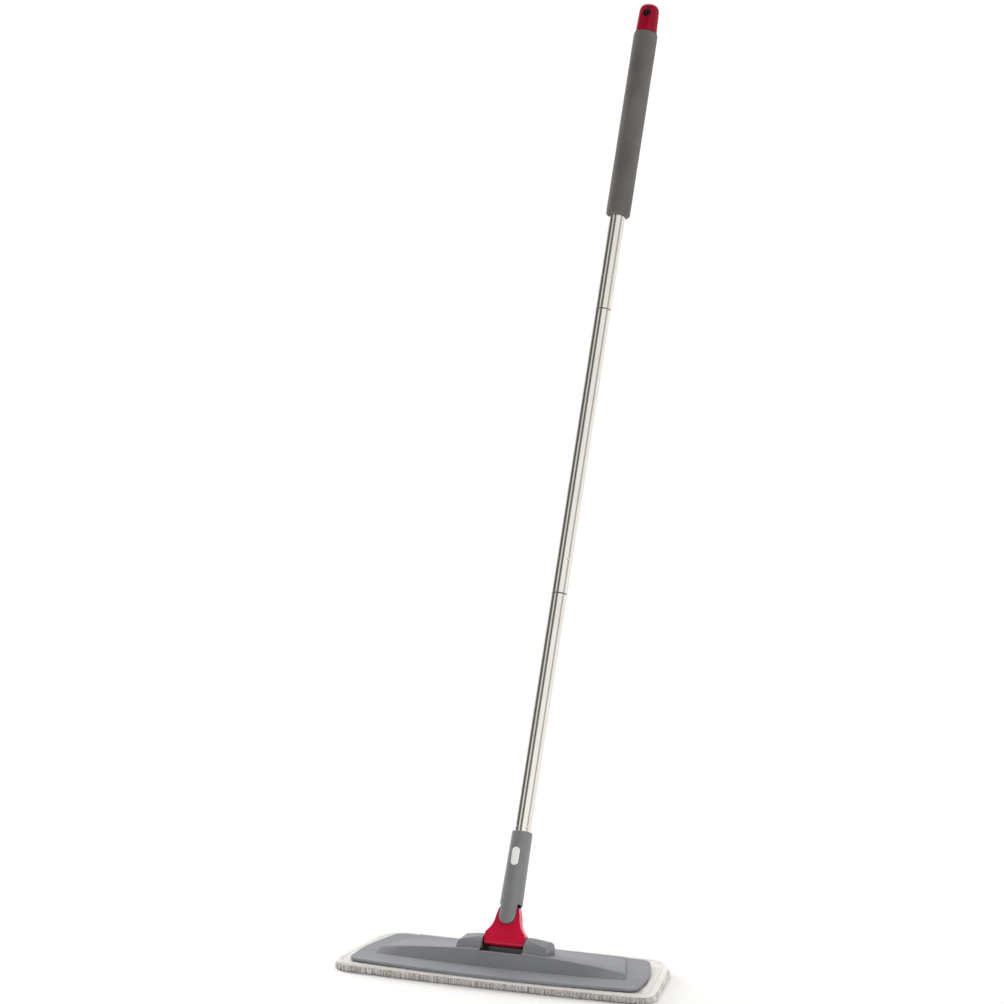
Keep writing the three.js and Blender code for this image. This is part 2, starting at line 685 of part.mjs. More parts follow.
function padPile() {
  return part('pad_pile', slab(headOutline(PAD), 0, PILE_TOP, 1.2), pileCloth());
}

function padCore() {
  return part('pad_core', slab(headOutline(PAD, BINDING_WIDTH + GAP), CORE_BOTTOM, CORE_TOP), foamCore());
}

function padCloth() {
  return part('pad_cloth', slab(headOutline(PAD, BINDING_WIDTH + GAP), CLOTH_BOTTOM, PAD_TOP), whiteCloth());
}

function padBinding() {
  const outer = toManifold(slab(headOutline(PAD), CORE_BOTTOM, PAD_TOP, 0.9));
  const inner = toManifold(slab(headOutline(PAD, BINDING_WIDTH), 0, 20));
  return solidPart('pad_binding', outer.subtract(inner), whiteCloth());
}

// ---- assembly ----

function handle() {
  const group = new THREE.Group();
  group.add(
    hangCap(), gripSleeve(), upperTube(), middleTube(), lowerTube(),
    jointNut('upper_joint_nut', UPPER_JOINT), jointStud('upper_joint_stud', UPPER_JOINT),
    jointNut('lower_joint_nut', LOWER_JOINT), jointStud('lower_joint_stud', LOWER_JOINT),
    poleInsert(), swivelSocket(), releaseButton(), buttonSpring(),
    swivelPin(), swivelPinPlug(),
    swivelWasher('swivel_washer_front', -SLOT_WIDTH / 2 + 0.15),
    swivelWasher('swivel_washer_rear', NECK_WIDTH / 2 + 0.15),
    yoke(),
  );
  group.rotation.x = -LEAN;
  return group;
}

function head() {
  const group = new THREE.Group();
  group.add(
    topPlate(), ...Object.entries(STRIPS).map(hookStrip), tiltPin(),
    tiltPinPlug('tilt_pin_plug_left', -1), tiltPinPlug('tilt_pin_plug_right', 1),
    padPile(), padCore(), padCloth(), padBinding(),
  );
  group.position.z = -TILT_HEIGHT;
  return group;
}

const mop = new THREE.Group();
mop.name = 'flat_mop';
mop.add(handle(), head());
mop.position.set(0, -ORIGIN_HEIGHT * Math.sin(LEAN), -ORIGIN_HEIGHT * Math.cos(LEAN));

export default mop;
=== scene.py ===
"""A flat mop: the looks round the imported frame.

Lengths in the head's and the handle's own frames are in millimetres.
"""

import json
import math

import bpy
import numpy as np
from mathutils import Matrix, Vector, noise


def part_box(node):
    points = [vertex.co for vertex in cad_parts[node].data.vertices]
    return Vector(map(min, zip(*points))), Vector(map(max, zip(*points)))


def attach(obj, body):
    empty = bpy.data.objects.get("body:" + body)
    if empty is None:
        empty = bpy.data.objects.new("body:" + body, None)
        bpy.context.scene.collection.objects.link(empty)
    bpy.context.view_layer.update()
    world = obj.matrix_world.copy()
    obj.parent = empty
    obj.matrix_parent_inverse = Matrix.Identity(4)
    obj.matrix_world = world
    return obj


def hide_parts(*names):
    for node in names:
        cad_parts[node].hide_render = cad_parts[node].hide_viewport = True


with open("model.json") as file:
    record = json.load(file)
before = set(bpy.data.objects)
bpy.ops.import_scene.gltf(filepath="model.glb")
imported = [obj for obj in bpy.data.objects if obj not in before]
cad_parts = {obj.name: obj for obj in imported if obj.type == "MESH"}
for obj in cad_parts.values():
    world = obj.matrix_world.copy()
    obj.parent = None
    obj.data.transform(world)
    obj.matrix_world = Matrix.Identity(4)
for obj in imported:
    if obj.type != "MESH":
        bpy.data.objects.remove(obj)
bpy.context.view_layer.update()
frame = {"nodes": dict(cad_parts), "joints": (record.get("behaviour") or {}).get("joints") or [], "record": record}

# ---- the frame's places ----

NODES = frame["nodes"]
JOINTS = {joint["name"]: joint for joint in frame["joints"]}
MM = 0.001
TILT = Vector(JOINTS["tilt"]["pos_m"])
RIGHT = Vector((1, 0, 0))
BACK = Vector(JOINTS["swivel"]["axis"])
POLE = RIGHT.cross(BACK)
LEAN = math.atan2(POLE.y, POLE.z)
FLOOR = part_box("pad_pile")[0].z


def placed(origin, x, y, z):
    """The matrix from millimetres in a part's own frame to metres in the row frame."""
    rows = [[x[i] * MM, y[i] * MM, z[i] * MM, origin[i]] for i in range(3)]
    return Matrix(rows + [[0, 0, 0, 1]])


HANDLE = placed(TILT, RIGHT, BACK, POLE)
HEAD = placed(Vector((0, TILT.y, FLOOR)), RIGHT, Vector((0, 1, 0)), Vector((0, 0, 1)))


def handle_size(node):
    """A node's lowest and highest height up the pole and its largest radius, in mm."""
    inverse = HANDLE.inverted()
    local = [inverse @ vertex.co for vertex in NODES[node].data.vertices]
    heights = [point.z for point in local]
    return min(heights), max(heights), max(math.hypot(point.x, point.y) for point in local)


# ---- material building ----

BEVEL_SAMPLES = 6
HOLLOW_SAMPLES = 8
EDGE_COSINES = (0.995, 0.86)
OPENNESS = (0.7, 0.25)


def add_node(tree, kind, inputs=None, **settings):
    """A shader node with its settings, and its inputs linked to sockets or set to values."""
    made = tree.nodes.new("ShaderNode" + kind)
    for setting, value in settings.items():
        setattr(made, setting, value)
    for socket, value in (inputs or {}).items():
        if isinstance(value, bpy.types.NodeSocket):
            tree.links.new(value, made.inputs[socket])
        else:
            made.inputs[socket].default_value = value
    return made


class Look:
    """A procedural material, built node by node on one Principled shader."""

    def __init__(self, name, handle=False, **constants):
        self.material = bpy.data.materials.new(name)
        self.material.use_nodes = True
        self.tree = self.material.node_tree
        self.shader = self.tree.nodes["Principled BSDF"]
        self.turn = (LEAN if handle else 0, 0, 0)
        for socket, value in constants.items():
            self.shader.inputs[socket.replace("_", " ")].default_value = value

    def node(self, kind, inputs=None, **settings):
        return add_node(self.tree, kind, inputs, **settings)

    def place(self, scale):
        """Object coordinates, turned to the pole for a handle part, times a scale per metre."""
        coordinates = self.node("TexCoord").outputs["Object"]
        turned = self.node("Mapping", {"Vector": coordinates, "Rotation": self.turn})
        sizes = scale if isinstance(scale, tuple) else (scale,) * 3
        return self.node(
            "VectorMath", {0: turned.outputs[0], 1: sizes}, operation="MULTIPLY"
        ).outputs[0]

    def noise(self, scale, detail=3.0, rough=0.55, distortion=0.0):
        inputs = {
            "Vector": self.place(scale),
            "Scale": 1.0,
            "Detail": detail,
            "Roughness": rough,
            "Distortion": distortion,
        }
        return self.node("TexNoise", inputs).outputs["Fac"]

    def cells(self, scale, smooth=False):
        feature = "SMOOTH_F1" if smooth else "F1"
        inputs = {"Vector": self.place(scale), "Scale": 1.0}
        return self.node("TexVoronoi", inputs, feature=feature).outputs["Distance"]

    def waves(self, scale, direction, distortion=0.0):
        inputs = {"Vector": self.place(scale), "Scale": 1.0, "Distortion": distortion}
        settings = {"wave_type": "BANDS", "bands_direction": direction, "wave_profile": "SIN"}
        return self.node("TexWave", inputs, **settings).outputs["Fac"]

    def math(self, operation, a, b):
        return self.node("Math", {0: a, 1: b}, operation=operation).outputs[0]

    def reach(self, value, low, high, to_low=0.0, to_high=1.0):
        inputs = {
            "Value": value,
            "From Min": low,
            "From Max": high,
            "To Min": to_low,
            "To Max": to_high,
        }
        return self.node("MapRange", inputs).outputs["Result"]

    def mix(self, share, a, b):
        """The colour a with a share of the colour b mixed in."""
        return self.node("Mix", {0: share, 6: a, 7: b}, data_type="RGBA").outputs[2]

    def rounded(self, radius):
        """The surface normal with every edge rounded by a radius."""
        return self.node("Bevel", {"Radius": radius}, samples=BEVEL_SAMPLES).outputs[0]

    def edge_wear(self, radius):
        """1 along sharp edges and 0 on open surfaces."""
        rounded = self.rounded(radius)
        plain = self.node("NewGeometry").outputs["Normal"]
        same = self.node("VectorMath", {0: rounded, 1: plain}, operation="DOT_PRODUCT")
        return self.reach(same.outputs["Value"], *EDGE_COSINES)

    def recess(self, reach):
        """1 in narrow gaps and hollows, where shade is painted, and 0 on open surfaces."""
        inputs = {"Distance": reach}
        openness = self.node("AmbientOcclusion", inputs, samples=HOLLOW_SAMPLES).outputs["AO"]
        return self.reach(openness, *OPENNESS)

    def within(self, low, high, fade):
        """1 inside a box of object coordinates, fading to 0 over a short length outside it."""
        parts = self.node("SeparateXYZ", {0: self.place(1.0)}).outputs
        share = 1.0
        for part, start, end in zip(parts, low, high):
            rise = self.reach(part, start - fade, start)
            fall = self.reach(part, end + fade, end)
            share = self.math("MULTIPLY", share, self.math("MULTIPLY", rise, fall))
        return share

    def bumps(self, *layers, bevel=0.0):
        """Chains (height, strength, distance) layers, over edges rounded by a bevel radius."""
        normal = self.rounded(bevel) if bevel else None
        for height, strength, distance in layers:
            inputs = {"Height": height, "Strength": strength, "Distance": distance}
            if normal is not None:
                inputs["Normal"] = normal
            normal = self.node("Bump", inputs).outputs[0]
        self.set(Normal=normal)

    def set(self, **links):
        for socket, value in links.items():
            self.tree.links.new(value, self.shader.inputs[socket.replace("_", " ")])
        return self.material


def colour(code, scale=1.0):
    """A linear RGBA colour from a hexadecimal sRGB code."""
    parts = [int(code[i : i + 2], 16) / 255 for i in (0, 2, 4)]
    linear = [p / 12.92 if p <= 0.04045 else ((p + 0.055) / 1.055) ** 2.4 for p in parts]
    return (*[value * scale for value in linear], 1)


# The near-black of the painted shade in hollows and in the hinge notch.
SHADE_COLOUR = colour("141415")
HOLLOW_REACH = 0.016
# How far the hinge notch's painted shade fades out past its box.
SHADE_FADE = 0.001
# The wave texture repeats 20 times in tau units.
WAVE_REPEATS = 20


def steel_look(name, code, rough):
    """Drawn steel: fine lines along the pole, faint smears and a few dull specks."""
    look = Look(name, handle=True, Metallic=1.0)
    lines = look.noise((1500, 1500, 9), detail=2)
    smears = look.noise((26, 26, 11), detail=4, distortion=0.6)
    specks = look.cells((420, 420, 300))
    base = look.mix(look.reach(smears, 0.35, 0.7), colour(code), colour(code, 0.93))
    base = look.mix(look.reach(specks, 0.1, 0.02, 0, 0.35), base, colour("5c5853"))
    gloss = look.math("ADD", look.reach(lines, 0.3, 0.7, rough, rough + 0.07),
                      look.reach(smears, 0.5, 0.75, 0, 0.06))
    look.bumps((lines, 0.05, 0.00004), (smears, 0.04, 0.0004))
    return look.set(Base_Color=base, Roughness=gloss)


def gloss_plastic_look(name, code, dark, handle, bevel=0.0006, shine=0.4):
    """Glossy moulded plastic, a little cloudy, with dull scuffs, paler edges and painted shade in its hollows."""
    look = Look(name, handle=handle, Coat_Weight=shine * 0.4, Coat_Roughness=0.1,
                Specular_IOR_Level=shine)
    cloud = look.noise(38, detail=3)
    grain = look.noise(900, detail=2)
    scuffs = look.noise((160, 900, 90), detail=5, rough=0.7)
    hollow_shade = look.recess(HOLLOW_REACH)
    base = look.mix(look.reach(cloud, 0.3, 0.72), colour(dark), colour(code))
    base = look.mix(look.math("MULTIPLY", look.edge_wear(0.0007), 0.3), base, colour("f0607a"))
    # Painted shade: narrow gaps and hollows darkened towards near-black red.
    base = look.mix(hollow_shade, base, colour("1c0406"))
    gloss = look.math("ADD", look.reach(cloud, 0.3, 0.7, 0.2, 0.27),
                      look.reach(scuffs, 0.6, 0.75, 0, 0.12))
    gloss = look.math("ADD", gloss, look.math("MULTIPLY", hollow_shade, 0.6))
    look.bumps((cloud, 0.05, 0.0012), (grain, 0.05, 0.00008), bevel=bevel)
    return look.set(Base_Color=base, Roughness=gloss)


def satin_plastic_look(name, code, dark, light, handle, rough=0.42, bevel=0.0006, shade_box=None):
    """Grained plastic with faint flow marks, paler worn edges and painted shade in its hollows.

    The shade box, a pair of corners in metres, is painted dark all over as shade.
    """
    look = Look(name, handle=handle)
    flow = look.noise((14, 30, 22), detail=3, distortion=0.8)
    grain = look.cells(1700, smooth=True)
    rubbed = look.noise(230, detail=5, rough=0.7)
    base = look.mix(look.reach(flow, 0.3, 0.72), colour(dark), colour(code))
    base = look.mix(look.reach(rubbed, 0.62, 0.8, 0, 0.3), base, colour(light))
    base = look.mix(look.math("MULTIPLY", look.edge_wear(0.0008), 0.4), base, colour(light))
    # Painted shade: the hollows, and the box if one is given, darkened towards near-black.
    dust_and_shade = look.recess(HOLLOW_REACH)
    if shade_box:
        dust_and_shade = look.math("MAXIMUM", dust_and_shade, look.within(*shade_box, SHADE_FADE))
    base = look.mix(look.math("MULTIPLY", dust_and_shade, 0.88), base, SHADE_COLOUR)
    gloss = look.math("ADD", look.reach(grain, 0.1, 0.7, rough - 0.03, rough + 0.05),
                      look.reach(rubbed, 0.58, 0.8, 0, 0.1))
    look.bumps((flow, 0.05, 0.0015), (grain, 0.16, 0.00006), bevel=bevel)
    sheen = look.reach(dust_and_shade, 0, 1, 0.45, 0.02)
    return look.set(Base_Color=base, Roughness=gloss, Specular_IOR_Level=sheen)


def foam_look(name):
    """Closed-cell foam: a matt skin full of fine pores, rubbed smoother in patches."""
    look = Look(name, handle=True, Sheen_Weight=0.12, Sheen_Roughness=0.5,
                Specular_IOR_Level=0.3)
    pores = look.cells(1500)
    big = look.cells((620, 620, 560))
    patch = look.noise((40, 40, 18), detail=4)
    base = look.mix(look.reach(patch, 0.3, 0.7), colour("5a5755"), colour("6e6a67"))
    base = look.mix(look.reach(big, 0.16, 0.04, 0, 0.75), base, colour("34312f"))
    gloss = look.reach(patch, 0.3, 0.75, 0.62, 0.82)
    look.bumps((patch, 0.08, 0.001), (big, 0.5, 0.00022), (pores, 0.35, 0.0001))
    return look.set(Base_Color=base, Roughness=gloss)


def woven_look(name, code, shade, pitch):
    """A plain weave of warp and weft, with slubs and a light nap; the pitch is in metres."""
    look = Look(name, Roughness=0.92, Sheen_Weight=0.3, Sheen_Roughness=0.4,
                Specular_IOR_Level=0.2)
    turns = math.tau / pitch / WAVE_REPEATS
    warp = look.waves(turns, "X", 0.4)
    weft = look.waves(turns, "Y", 0.4)
    thread = look.math("MAXIMUM", warp, weft)
    slub = look.noise((260, 40, 90), detail=4)
    lint = look.noise(700, detail=4, rough=0.7)
    base = look.mix(look.reach(thread, 0.25, 0.95), colour(shade), colour(code))
    base = look.mix(look.reach(slub, 0.45, 0.75, 0, 0.5), base, colour(shade, 0.92))
    base = look.mix(look.reach(lint, 0.6, 0.75, 0, 0.35), base, colour("f6f3ef"))
    look.bumps((slub, 0.12, 0.0006), (thread, 0.5, 0.00022), (lint, 0.3, 0.0001))
    return look.set(Base_Color=base)


def yarn_look(name):
    """Looped yarn: each loop has its own tint, with fine twisted fibres."""
    look = Look(name, Roughness=0.95, Sheen_Weight=0.35, Sheen_Roughness=0.45,
                Specular_IOR_Level=0.15)
    tint = look.node("Attribute", attribute_name="tint", attribute_type="GEOMETRY").outputs["Fac"]
    fibres = look.noise((2600, 2600, 900), detail=3, distortion=1.0)
    dust_and_shade = look.noise(60, detail=4)
    base = look.mix(tint, colour("b5aaa4"), colour("fdfaf8"))
    base = look.mix(look.reach(dust_and_shade, 0.4, 0.7, 0, 0.25), base, colour("bfb6b0"))
    base = look.mix(look.reach(fibres, 0.5, 0.8, 0, 0.5), base, colour("f8f4f1"))
    # Dark flecks painted as the shade between the loops.
    shade_flecks = look.noise(640, detail=1)
    base = look.mix(look.reach(shade_flecks, 0.57, 0.67, 0, 0.7), base, colour("7a6e67"))
    look.bumps((fibres, 0.6, 0.00025))
    return look.set(Base_Color=base)


def hook_look(name):
    """Hook tape: rows of small dark hooks."""
    look = Look(name, Roughness=0.8, Specular_IOR_Level=0.3)
    hooks = look.cells((900, 700, 900))
    rows = look.waves(70, "X", 0.2)
    base = look.mix(look.reach(hooks, 0.1, 0.5), colour("5a5b5d"), colour("2b2c2d"))
    look.bumps((rows, 0.2, 0.0002), (hooks, 0.8, 0.0004))
    return look.set(Base_Color=base)


# The notch in the plate round the yoke's barrel, painted dark all over as the shade under the barrel.
NOTCH_SHADE_BOX = [HEAD @ Vector(corner) for corner in ((-27, -16, 27), (27, 15.5, 33.5))]
LOOKS = {
    "red_plastic": gloss_plastic_look("crimson_gloss_plastic", "e60c40", "cc0a38", True),
    "grip_foam": foam_look("grey_grip_foam"),
    "polished_steel": steel_look("drawn_polished_steel", "e8e4de", 0.1),
    "natural_nylon": satin_plastic_look("natural_nylon", "dad7d0", "cbc7be", "efece6", True),
    "grey_plastic": satin_plastic_look("grey_socket_plastic", "848687", "7a7c7d", "a8a9aa", True, 0.36),
    "white_plastic": satin_plastic_look("white_button_plastic", "ffffff", "fafaf9", "ffffff", True, 0.3),
    "spring_steel": steel_look("bright_spring_steel", "a5a3a1", 0.2),
    "plate_plastic": satin_plastic_look(
        "bluish_grey_plate_plastic", "898b90", "7f8186", "adafb4", False, 0.4, shade_box=NOTCH_SHADE_BOX
    ),
    "hook_tape": hook_look("grey_hook_tape"),
    "pile_fabric": yarn_look("looped_microfibre_yarn"),
    "foam_core": woven_look("felt_core", "d8d4cc", "c5c0b8", 0.0012),
    "white_fabric": woven_look("white_woven_cloth", "f1eeeb", "dcd7d2", 0.0011),
}
BINDING_LOOK = woven_look("white_binding_tape", "f7f5f2", "e6e2dd", 0.0007)
THREAD_LOOK = woven_look("sewing_thread", "e4dfd9", "b9b2aa", 0.0004)
CAP_LOOK = gloss_plastic_look("dark_crimson_cap_plastic", "a8032c", "7a0420", True, shine=0.12)
COLLAR_LOOK = satin_plastic_look("grey_brown_collar", "6f6862", "625b55", "8d8680", True)

# ---- the carried-over CAD nodes ----

WELD_DISTANCE = 2e-6
PLATE_SMOOTHING = 12
PLAIN_SMOOTHING = 32


def weld_and_smooth(limit):
    """A modifier tree: joins the split corners and smooths every edge flatter than the limit."""
    tree = bpy.data.node_groups.new(f"weld_and_smooth_{limit}", "GeometryNodeTree")
    for direction in ("INPUT", "OUTPUT"):
        tree.interface.new_socket("Geometry", in_out=direction, socket_type="NodeSocketGeometry")
    start, end = tree.nodes.new("NodeGroupInput"), tree.nodes.new("NodeGroupOutput")
    plain = tree.nodes.new("GeometryNodeRemoveAttribute")
    plain.inputs["Name"].default_value = "custom_normal"
    weld = tree.nodes.new("GeometryNodeMergeByDistance")
    weld.inputs["Distance"].default_value = WELD_DISTANCE
    faces, edges = (tree.nodes.new("GeometryNodeSetShadeSmooth") for _ in range(2))
    faces.domain, edges.domain = "FACE", "EDGE"
    angle = tree.nodes.new("GeometryNodeInputMeshEdgeAngle")
    flat = tree.nodes.new("FunctionNodeCompare")
    flat.operation = "LESS_THAN"
    flat.inputs[1].default_value = math.radians(limit)
    tree.links.new(angle.outputs["Unsigned Angle"], flat.inputs[0])
    tree.links.new(flat.outputs[0], edges.inputs["Shade Smooth"])
    chain = [start, plain, weld, faces, edges, end]
    for a, b in zip(chain, chain[1:]):
        tree.links.new(a.outputs[0], b.inputs["Geometry"])
    return tree


SMOOTHING = {limit: weld_and_smooth(limit) for limit in (PLATE_SMOOTHING, PLAIN_SMOOTHING)}
OWN_LOOKS = {
    "hang_cap": CAP_LOOK,
    "upper_joint_stud": COLLAR_LOOK,
    "lower_joint_stud": COLLAR_LOOK,
}
NODE_SLOT = {part["node"]: part["material_slot"] for part in frame["record"]["subparts"]}
for node, piece in NODES.items():
    piece.data.materials.clear()
    piece.data.materials.append(OWN_LOOKS.get(node, LOOKS[NODE_SLOT[node]]))
    modifier = piece.modifiers.new("weld_and_smooth", "NODES")
    modifier.node_group = SMOOTHING[PLATE_SMOOTHING if node == "top_plate" else PLAIN_SMOOTHING]

# ---- piece building ----


def make_piece(name, points, faces, place, body, slot, look=None, stands_for=(), crease=40):
    """A visual piece that rides a body; its points are in mm in the frame that place gives."""
    mesh = bpy.data.meshes.new(name)
    mesh.from_pydata(points, [], faces)
    mesh.transform(place)
    mesh.polygons.foreach_set("use_smooth", [True] * len(mesh.polygons))
    mesh.set_sharp_from_angle(angle=math.radians(crease))
    mesh.materials.append(look or LOOKS[slot])
    piece = bpy.data.objects.new(name, mesh)
    bpy.context.scene.collection.objects.link(piece)
    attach(piece, body)
    if stands_for:
        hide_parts(*stands_for)
    return piece


def ring_faces(rows, count, closed):
    """The quads between rows of rings; closed also joins the last row to the first."""
    faces = []
    for row in range(rows if closed else rows - 1):
        above = (row + 1) % rows
        for i in range(count):
            j = (i + 1) % count
            faces.append((row * count + i, row * count + j, above * count + j, above * count + i))
    return faces


def turned(profile, segments, shape):
    """Turns a closed (radius, height) profile round the axis; shape gives each point's radius."""
    points = []
    for radius, height in profile:
        for i in range(segments):
            angle = math.tau * i / segments
            r = shape(radius, height, angle)
            points.append((r * math.cos(angle), r * math.sin(angle), height))
    return points, ring_faces(len(profile), segments, True)


# ---- the pole's three tubes ----

WALL = 1.0
LIP = 0.3
FIRM = 0.45
BORE_CHAMFER = 0.15
TUBE_SEGMENTS = 120
CRIMPS = {"lower_tube": 74.0, "middle_tube": 42.35, "upper_tube": 42.35}
DIMPLE = {"reach": 3.2, "depth": 0.5, "width": 1.15, "rim": 0.06, "rim_radius": 2, "rim_width": 0.6}


def tube_lip(radius, end, inward):
    """The rounded lip at one end of a tube, from its face to the firm band behind it."""
    return [
        (radius - LIP, end),
        (radius - LIP * 0.3, end + inward * LIP * 0.3),
        (radius, end + inward * LIP),
        (radius, end + inward * LIP + inward * FIRM),
    ]


def steel_tube(node):
    """A tube with rounded lips and a ring of four crimp dimples above its lower fitting."""
    low, high, radius = handle_size(node)
    crimp = low + CRIMPS[node]
    heights = set(np.arange(low + 4, high - 3, 6.0)) | set(crimp + np.arange(-3, 3.01, 0.4))
    bore = radius - WALL
    profile = tube_lip(radius, low, 1)
    profile += [(radius, height) for height in sorted(heights)]
    profile += tube_lip(radius, high, -1)[::-1]
    profile += [(bore + BORE_CHAMFER, high), (bore, high - 0.2)]
    profile += [(bore, low + 0.2), (bore + BORE_CHAMFER, low)]

    def shape(r, height, angle):
        if r < radius - LIP - 0.01 or abs(height - crimp) > DIMPLE["reach"]:
            return r
        quarter = (angle % (math.pi / 2)) - math.pi / 4
        away = math.hypot(quarter * radius, height - crimp)
        dip = DIMPLE["depth"] * math.exp(-((away / DIMPLE["width"]) ** 2))
        rim_away = (away - DIMPLE["rim_radius"]) / DIMPLE["rim_width"]
        return r - dip + DIMPLE["rim"] * math.exp(-rim_away ** 2)

    points, faces = turned(profile, TUBE_SEGMENTS, shape)
    name = "steel_" + node
    make_piece(name, points, faces, HANDLE, "handle", "polished_steel", stands_for=[node])


for node in CRIMPS:
    steel_tube(node)

# ---- the foam grip ----

GRIP_ROUND = 2.6
GRIP_ROUND_STEPS = 8
GRIP_SEGMENTS = 112
GRIP_FIT = 0.3


def foam_grip():
    """A foam sleeve with rounded ends, an uneven skin, pinched ends and a faint mould seam."""
    low, high, radius = handle_size("grip_sleeve")
    bore = handle_size("upper_tube")[2] + GRIP_FIT
    end = []
    for step in range(GRIP_ROUND_STEPS + 1):
        angle = math.pi / 2 * step / GRIP_ROUND_STEPS
        end.append((radius - GRIP_ROUND * (1 - math.sin(angle)),
                    low + GRIP_ROUND * (1 - math.cos(angle))))
    profile = end + [(radius, height) for height in np.arange(low + 4, high - 3.5, 1.25)]
    profile += [(r, low + high - height) for r, height in reversed(end)]
    profile += [(bore + 0.5, high), (bore, high - 0.5), (bore, low + 0.5), (bore + 0.5, low)]

    def shape(r, height, angle):
        if r < bore + 1:
            return r
        around = Vector((math.cos(angle), math.sin(angle), 0))
        swell = 0.14 * noise.noise(around * 0.8 + Vector((0, 0, height / 45)))
        skin = 0.05 * noise.noise(around * 9 + Vector((3, 7, height / 2.2)))
        ends = math.exp(-((height - low) / 5) ** 2) + math.exp(-((high - height) / 5) ** 2)
        seam = math.exp(-((math.sin(angle) * radius / 0.7) ** 2)) if math.cos(angle) > 0 else 0
        return min(r + swell + skin - 0.18 * ends + 0.1 * seam - 0.12, radius)

    points, faces = turned(profile, GRIP_SEGMENTS, shape)
    piece = make_piece("foam_grip", points, faces, HANDLE, "handle", "grip_foam",
                       stands_for=["grip_sleeve"], crease=60)


foam_grip()

# ---- the pad's plan ----

PAD = {
    "front": -56.5, "back": 84.0, "front_half": 205.0, "back_half": 184.0,
    "bow": 5.0, "front_radius": 24.0, "back_radius": 38.0,
}
PLATE = {
    "front": -51.5, "back": 62.0, "front_half": 186.0, "back_half": 164.5,
    "bow": 9.5, "bulge": 4.5,
}
TOP = 11.2
CENTRE = np.array([0.0, 10.0])
# The share of the bow that the front edge already has where its corners end.
BOW_START = 0.15
CURVE_POINTS = 60
RIPPLE_WAVES = 3


def outline(plan, count):
    """Evenly spaced points round a plan outline, their outward normals, and its length."""
    y0, y1, w0, w1 = plan["front"], plan["back"], plan["front_half"], plan["back_half"]
    bow, r0, r1 = plan["bow"], plan["front_radius"], plan["back_radius"]
    lean = (w0 - w1) / (y1 - y0)
    y_bow = y0 - bow * BOW_START
    corners = [
        [(-w0 + r0, y_bow), (0, y0 - bow * (2 - BOW_START)), (w0 - r0, y_bow)],
        [(w0 - r0, y_bow), (w0, y0), (w0 - lean * r0, y0 + r0)],
        [(w1 + lean * r1, y1 - r1), (w1, y1), (w1 - r1, y1)],
        [(-w1 + r1, y1), (-w1, y1), (-w1 - lean * r1, y1 - r1)],
        [(-w0 + lean * r0, y0 + r0), (-w0, y0), (-w0 + r0, y_bow)],
    ]
    t = np.linspace(0, 1, CURVE_POINTS)[:, None]
    dense = np.vstack([
        (1 - t) ** 2 * np.array(a) + 2 * t * (1 - t) * np.array(b) + t ** 2 * np.array(c)
        for a, b, c in corners
    ])
    dense = np.vstack([dense, dense[:1]])
    steps = np.hypot(*np.diff(dense, axis=0).T)
    keep = np.r_[True, steps > 1e-9]
    dense, travel = dense[keep], np.r_[0, np.cumsum(steps[steps > 1e-9])]
    at = np.linspace(0, travel[-1], count, endpoint=False)
    points = np.stack([np.interp(at, travel, dense[:, i]) for i in (0, 1)], axis=1)
    ahead = np.roll(points, -1, 0) - np.roll(points, 1, 0)
    ahead /= np.linalg.norm(ahead, axis=1)[:, None]
    return points, np.stack([ahead[:, 1], -ahead[:, 0]], axis=1), travel[-1]


def under_plate(x, y):
    """How far inside the plate's outline a point lies, in mm; negative outside."""
    share = np.clip((y - PLATE["front"]) / (PLATE["back"] - PLATE["front"]), 0, 1)
    half = PLATE["front_half"] + (PLATE["back_half"] - PLATE["front_half"]) * share
    half = half + 4 * PLATE["bulge"] * share * (1 - share)
    front = PLATE["front"] - PLATE["bow"] * (1 - (x / half) ** 2)
    return np.minimum(np.minimum(PLATE["back"] - y, y - front), half - np.abs(x))


def ripple(values, seed, sizes):
    """Smooth closed random waves along the outline: values are turns from 0 to 1."""
    source = np.random.default_rng(seed)
    total = np.zeros_like(values)
    for waves, amount in sizes:
        for _ in range(RIPPLE_WAVES):
            count = waves + int(source.integers(-waves // 6 - 1, waves // 6 + 2))
            total += amount / RIPPLE_WAVES * np.sin(math.tau * count * values + source.uniform(0, math.tau))
    return total


def level(ring, height):
    """A plan ring as points at one height, or each at its own."""
    return np.column_stack([ring, np.full(len(ring), height)])


# ---- the pad's padded body ----

BODY_COUNT = 420
BODY_EDGE = 5.4
BODY_LOW = 6.9
BODY_HIGH = TOP - 0.15
MARGIN_INSETS = [6.2, 7.4, 8.6, 10, 11.5, 13, 14.5, 16]
MIDDLE_SHARES = (0.965, 0.93, 0.89, 0.84, 0.76, 0.66, 0.54, 0.4, 0.25, 0.1)
CREEP = 0.4


def body_shell():
    """The flat closed body: its points, its faces, and the row where its top margin starts."""
    points, normals, _ = outline(PAD, BODY_COUNT)
    rings = [points - normals * inset for inset in MARGIN_INSETS]
    last = rings[-1]
    rings += [CENTRE + (last - CENTRE) * share for share in MIDDLE_SHARES]
    edge = points - normals * BODY_EDGE
    stack = [level(ring, BODY_LOW) for ring in rings[::-1]]
    stack += [level(edge, height) for height in (BODY_LOW + 1, BODY_HIGH - 1)]
    stack += [level(ring, BODY_HIGH) for ring in rings]
    poles = np.array([[*CENTRE, BODY_LOW], [*CENTRE, BODY_HIGH]])
    end = len(stack) * BODY_COUNT
    last_row = end - BODY_COUNT
    faces = ring_faces(len(stack), BODY_COUNT, False)
    for i in range(BODY_COUNT):
        j = (i + 1) % BODY_COUNT
        faces.append((j, i, end))
        faces.append((last_row + i, last_row + j, end + 1))
    return np.vstack(stack + [poles]), faces, len(stack) - len(rings)


